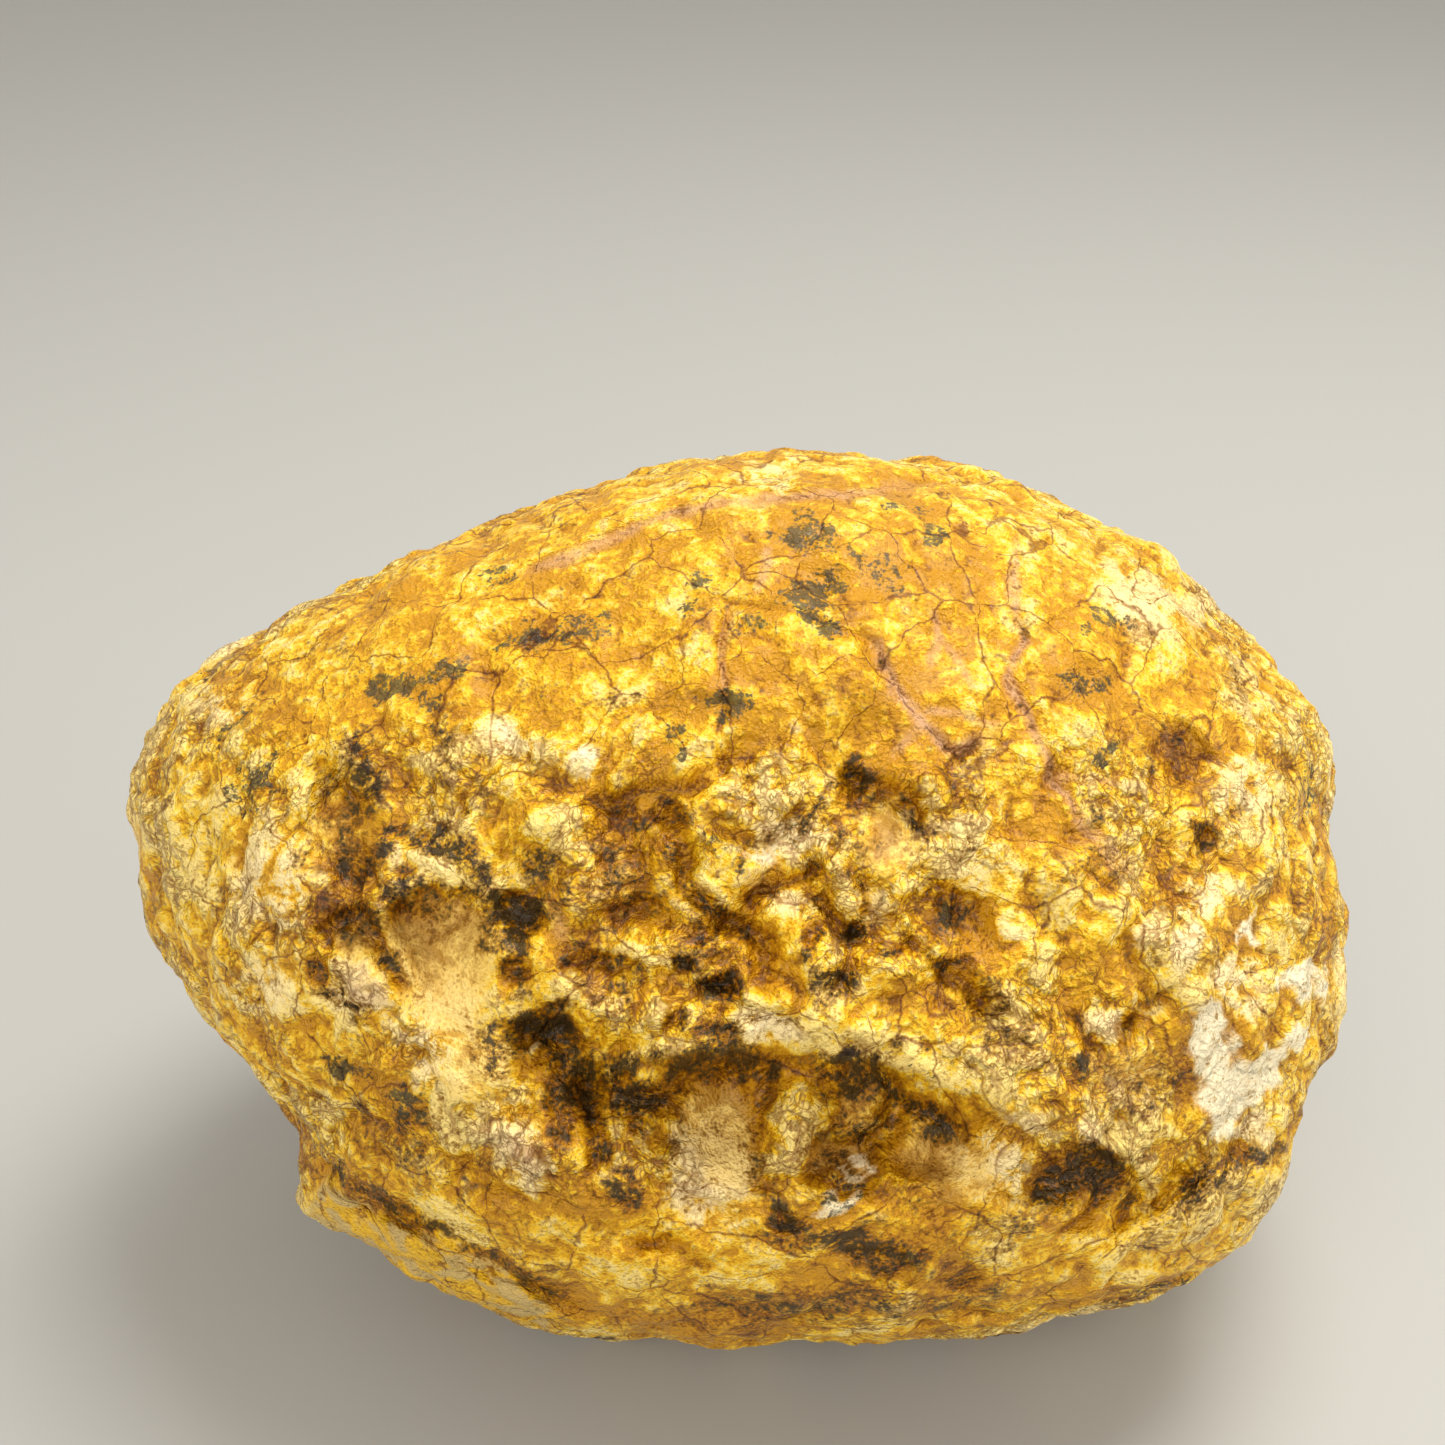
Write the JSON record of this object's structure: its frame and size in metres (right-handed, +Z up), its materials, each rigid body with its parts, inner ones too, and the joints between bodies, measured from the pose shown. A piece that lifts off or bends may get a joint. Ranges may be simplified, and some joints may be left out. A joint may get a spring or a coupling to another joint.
{
  "type": "unopened geode",
  "caption": "Unopened geode: one rounded, oblong natural stone with a lumpy, pitted rind and scooped hollows low on its front. Rests on a flat underneath.",
  "frame": {"origin": "middle of the stone's footprint, on the plane it rests on", "axes": "+Z up; +X along the longest way of the stone, to the right of its pitted front; the pitted front faces -Y"},
  "size_m": [0.1443, 0.1154, 0.1045],
  "materials": {
    "rind": "wet-looking ochre rind"
  },
  "bodies": {
    "root": {"geode": "rind"}
  },
  "joints": []
}
